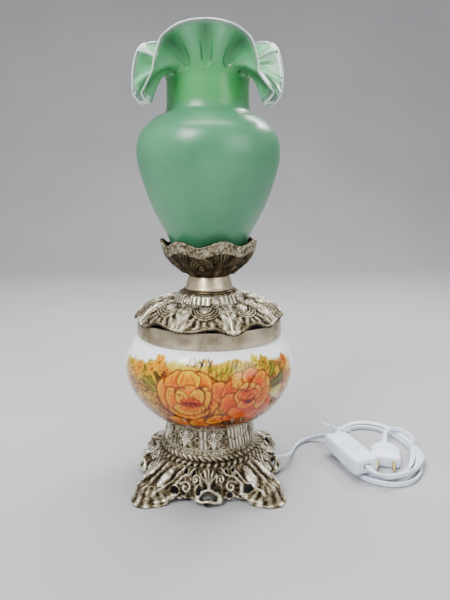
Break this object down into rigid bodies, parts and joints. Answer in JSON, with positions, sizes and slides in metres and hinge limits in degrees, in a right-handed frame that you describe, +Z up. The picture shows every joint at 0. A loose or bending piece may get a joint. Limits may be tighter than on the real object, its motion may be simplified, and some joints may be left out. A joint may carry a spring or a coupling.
{
  "type": "oil lamp",
  "caption": "Electric table lamp in oil-lamp form: cast brass foot, painted porcelain bowl, leafy crown and cup, ruffled green glass shade, white cord with switch and plug.",
  "frame": {"origin": "on the lamp's axis, on the surface that its toes stand on", "axes": "+Z up along the lamp's axis; -Y is the front, where one crest of the ruffled rim faces; the cord leaves towards +X"},
  "size_m": [0.3561, 0.2161, 0.4795],
  "materials": {
    "cast_brass": "antique cast brass, pale on the highs and dark brown in the recesses",
    "plain_brass": "antique brass, satin, mottled",
    "fitting_brass": "plain brass",
    "steel": "zinc-plated",
    "porcelain": "glossy white glaze painted with roses, leaves and blossom",
    "green_glass": "acid-frosted mint green with a clear edge",
    "bulb_glass": "frosted white",
    "bakelite": "black moulded",
    "insulator": "unglazed",
    "cord_pvc": "translucent white PVC",
    "white_plastic": "white moulded"
  },
  "bodies": {
    "lamp": {"foot_casting": "cast_brass", "drum_casting": "cast_brass", "crown_casting": "cast_brass", "reeded_ring": "cast_brass", "shade_cup": "cast_brass", "mouth_band": "plain_brass", "neck_ring": "plain_brass", "neck_sleeve": "plain_brass", "cup_washer": "fitting_brass", "cup_nut": "fitting_brass", "holder_thread": "fitting_brass", "holder_contact": "fitting_brass", "switch_contact_left": "fitting_brass", "switch_contact_right": "fitting_brass", "switch_bridge": "fitting_brass", "plug_pin_left": "fitting_brass", "plug_pin_right": "fitting_brass", "threaded_tube": "steel", "foot_washer": "steel", "foot_nut": "steel", "bowl_floor_washer": "steel", "mouth_disc": "steel", "switch_screw_1": "steel", "switch_screw_2": "steel", "porcelain_bowl": "porcelain", "cord_bush": "bakelite", "holder_base": "bakelite", "holder_shell": "bakelite", "holder_insulator": "insulator", "inner_wire": "cord_pvc", "cord_lead": "cord_pvc", "cord_to_coil": "cord_pvc", "cord_coil": "cord_pvc", "cord_tail": "cord_pvc", "coil_tie": "white_plastic", "switch_lower_shell": "white_plastic", "switch_upper_shell": "white_plastic", "plug_body": "white_plastic", "plug_nozzle": "white_plastic"},
    "shade": {"glass_shade": "green_glass"},
    "bulb": {"bulb_tip": "bakelite", "bulb_cap": "fitting_brass", "bulb_globe": "bulb_glass"},
    "rocker": {"switch_rocker": "white_plastic"}
  },
  "joints": [
    {"name": "shade_lift", "type": "slide", "parent": "lamp", "child": "shade", "axis": [0, 0, 1], "range_m": [0, 0.11]},
    {"name": "bulb_lift", "type": "slide", "parent": "lamp", "child": "bulb", "axis": [0, 0, 1], "range_m": [0, 0.03]},
    {"name": "switch_rocker_tilt", "type": "hinge", "parent": "lamp", "child": "rocker", "pos_m": [0.167, 0.008, 0.0239], "axis": [0.9511, 0.309, 0], "range_deg": [0, 14]}
  ]
}
